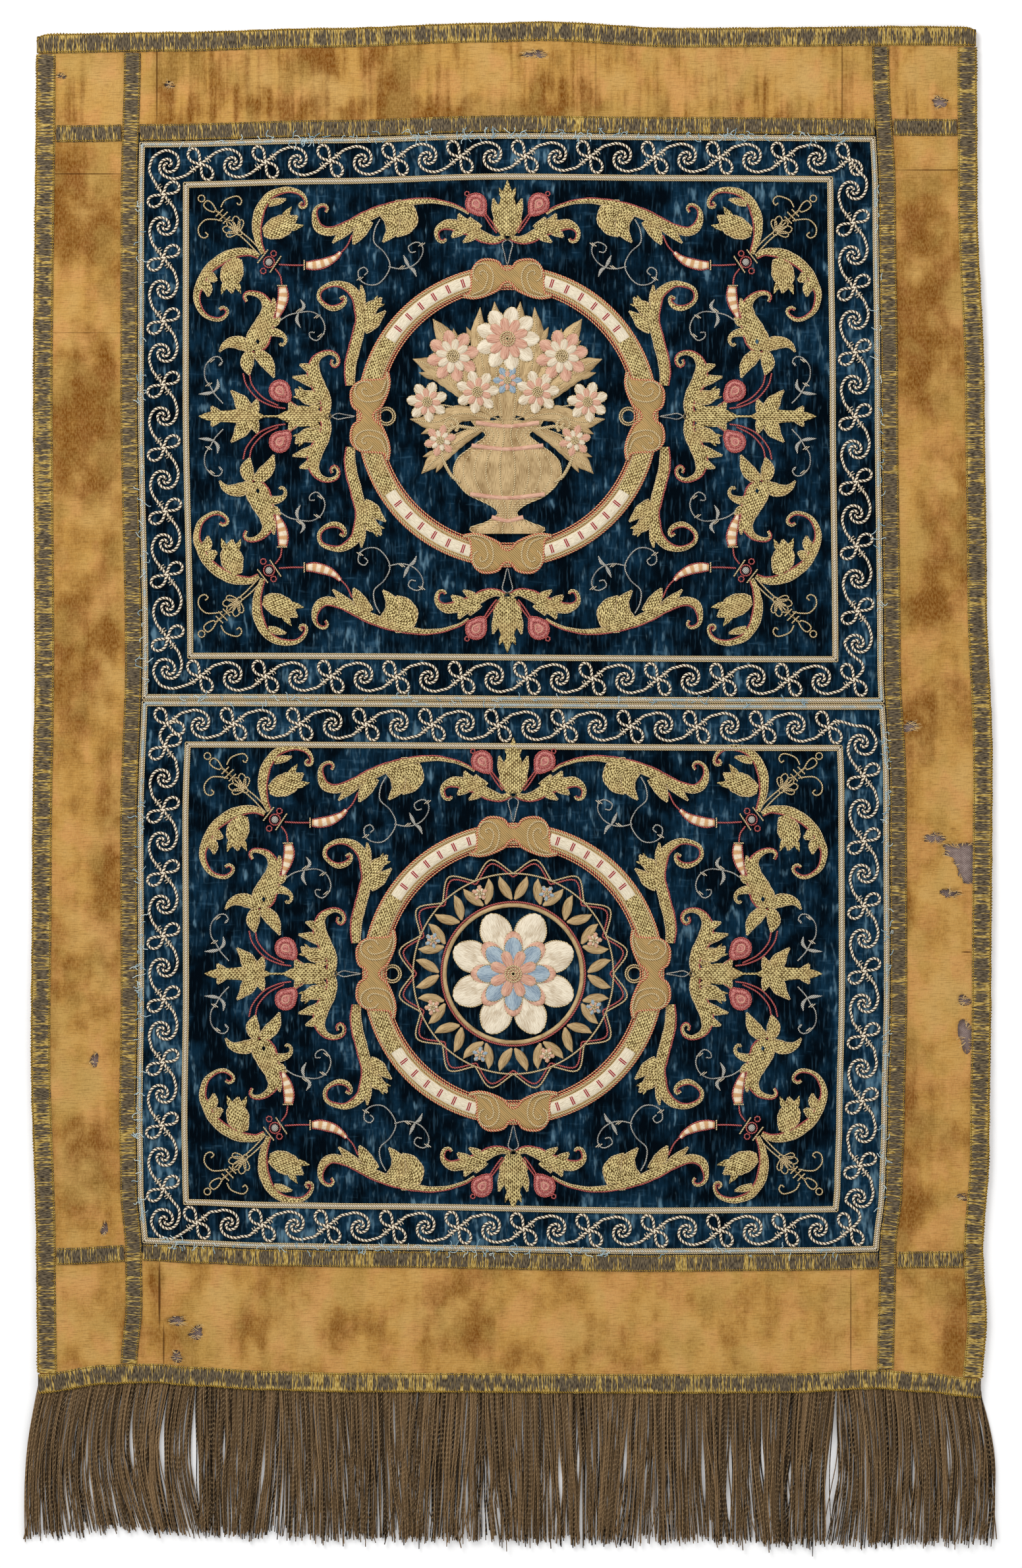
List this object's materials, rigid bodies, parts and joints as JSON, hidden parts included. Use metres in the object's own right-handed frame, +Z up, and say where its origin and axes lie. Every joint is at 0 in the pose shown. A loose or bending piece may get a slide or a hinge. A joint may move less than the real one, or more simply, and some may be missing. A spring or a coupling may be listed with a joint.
{
  "type": "liturgical cloth, flat, with embroidered velvet panels and a fringe",
  "caption": "Flat church cloth of gold velvet squared by metal braid, with blue embroidered velvet panels, padded medallions and a long brown fringe.",
  "frame": {"origin": "middle of the underside, at the centre of the whole cloth's box seen from above", "axes": "+Y along the long side, away from the fringe; +X across, to the right seen from above; +Z up through the cloth, from lining to embroidered face"},
  "size_m": [0.6702, 1.0649, 0.0067],
  "materials": {
    "gold_velvet": "worn cut pile",
    "blue_velvet": "worn cut pile",
    "lining_linen": "plain weave, matt",
    "metal_braid": "tarnished metal thread",
    "gold_cord": "laid metal thread",
    "gold_embroidery": "couched metal thread and silk",
    "brown_fringe": "twisted silk"
  },
  "bodies": {
    "root": {"braid_bottom_left": "metal_braid", "braid_bottom_middle": "metal_braid", "braid_bottom_right": "metal_braid", "braid_inner_left": "metal_braid", "braid_inner_right": "metal_braid", "braid_outer_bottom": "metal_braid", "braid_outer_left": "metal_braid", "braid_outer_right": "metal_braid", "braid_outer_top": "metal_braid", "braid_top_left": "metal_braid", "braid_top_middle": "metal_braid", "braid_top_right": "metal_braid", "frame_cord_lower": "gold_cord", "frame_cord_upper": "gold_cord", "fringe": "brown_fringe", "lining": "lining_linen", "medallion_lower": "gold_embroidery", "medallion_upper": "gold_embroidery", "panel_cord_lower": "gold_cord", "panel_cord_upper": "gold_cord", "panel_lower": "blue_velvet", "panel_upper": "blue_velvet", "velvet_corner_bottom_left": "gold_velvet", "velvet_corner_bottom_right": "gold_velvet", "velvet_corner_top_left": "gold_velvet", "velvet_corner_top_right": "gold_velvet", "velvet_strip_bottom": "gold_velvet", "velvet_strip_left": "gold_velvet", "velvet_strip_right": "gold_velvet", "velvet_strip_top": "gold_velvet"}
  },
  "joints": []
}
